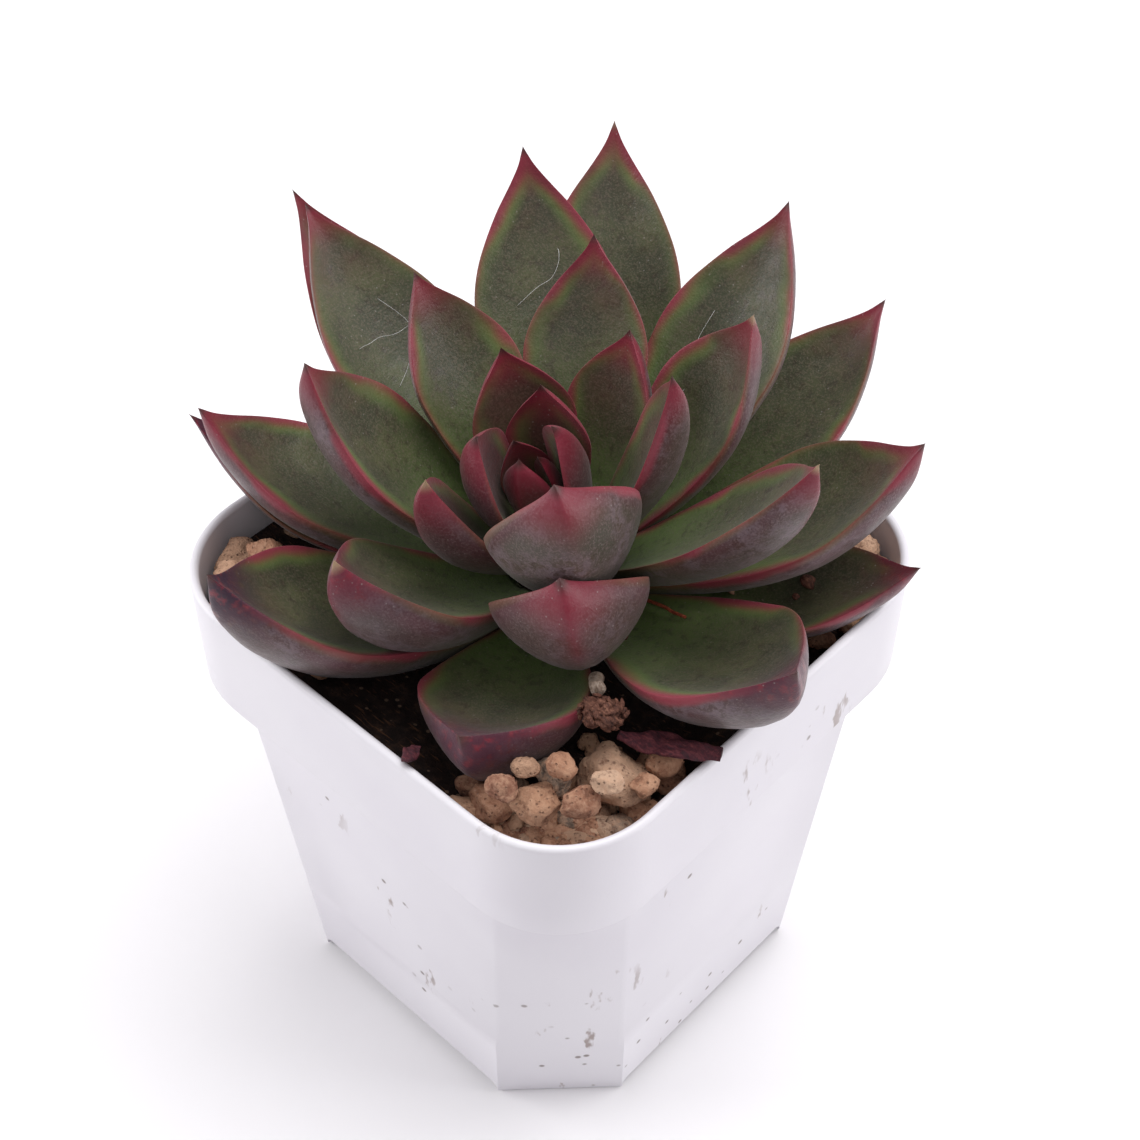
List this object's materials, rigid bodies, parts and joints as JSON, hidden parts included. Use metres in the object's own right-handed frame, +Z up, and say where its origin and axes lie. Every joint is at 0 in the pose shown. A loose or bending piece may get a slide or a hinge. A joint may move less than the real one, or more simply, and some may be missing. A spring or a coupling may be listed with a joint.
{
  "type": "potted succulent",
  "caption": "Rosette succulent with pointed, keeled, red-edged leaves, rooted in potting mix under loose pumice in a square thin-walled plastic pot.",
  "frame": {"origin": "on the surface that the pot stands on, under the middle of the whole plant's bounding box", "axes": "+Z up out of the pot; X and Y square to the pot's flat sides"},
  "size_m": [0.0946, 0.0864, 0.1068],
  "materials": {
    "white_plastic": "satin",
    "potting_mix": "matte",
    "stem_bark": "matte",
    "leaf_flesh": "satin",
    "dry_stalk": "matte",
    "dry_husk": "matte",
    "dry_head": "matte",
    "pumice": "matte"
  },
  "bodies": {
    "root": {"dried_flower_head": "dry_head", "dried_leaf_scrap": "dry_husk", "flower_stalk_stub": "dry_stalk", "leaf_01": "leaf_flesh", "leaf_02": "leaf_flesh", "leaf_03": "leaf_flesh", "leaf_04": "leaf_flesh", "leaf_05": "leaf_flesh", "leaf_06": "leaf_flesh", "leaf_07": "leaf_flesh", "leaf_08": "leaf_flesh", "leaf_09": "leaf_flesh", "leaf_10": "leaf_flesh", "leaf_11": "leaf_flesh", "leaf_12": "leaf_flesh", "leaf_13": "leaf_flesh", "leaf_14": "leaf_flesh", "leaf_15": "leaf_flesh", "leaf_16": "leaf_flesh", "leaf_17": "leaf_flesh", "leaf_18": "leaf_flesh", "leaf_19": "leaf_flesh", "leaf_20": "leaf_flesh", "leaf_21": "leaf_flesh", "leaf_22": "leaf_flesh", "leaf_23": "leaf_flesh", "leaf_24": "leaf_flesh", "leaf_25": "leaf_flesh", "leaf_26": "leaf_flesh", "leaf_27": "leaf_flesh", "leaf_28": "leaf_flesh", "leaf_29": "leaf_flesh", "leaf_30": "leaf_flesh", "leaf_31": "leaf_flesh", "pebble_back_a": "pumice", "pebble_back_b": "pumice", "pebble_back_c": "pumice", "pebble_brown": "pumice", "pebble_front_left": "pumice", "pebble_grey": "pumice", "pebble_large_tan": "pumice", "pebble_left_corner_a": "pumice", "pebble_left_corner_b": "pumice", "pebble_left_corner_c": "pumice", "pebble_long": "pumice", "pebble_pale": "pumice", "pebble_pink": "pumice", "pebble_right_a": "pumice", "pebble_right_b": "pumice", "pebble_right_corner_a": "pumice", "pebble_right_corner_b": "pumice", "pebble_right_corner_c": "pumice", "pebble_small_a": "pumice", "pebble_small_b": "pumice", "pot": "white_plastic", "potting_mix": "potting_mix", "stem": "stem_bark", "withered_leaf": "dry_husk"}
  },
  "joints": []
}
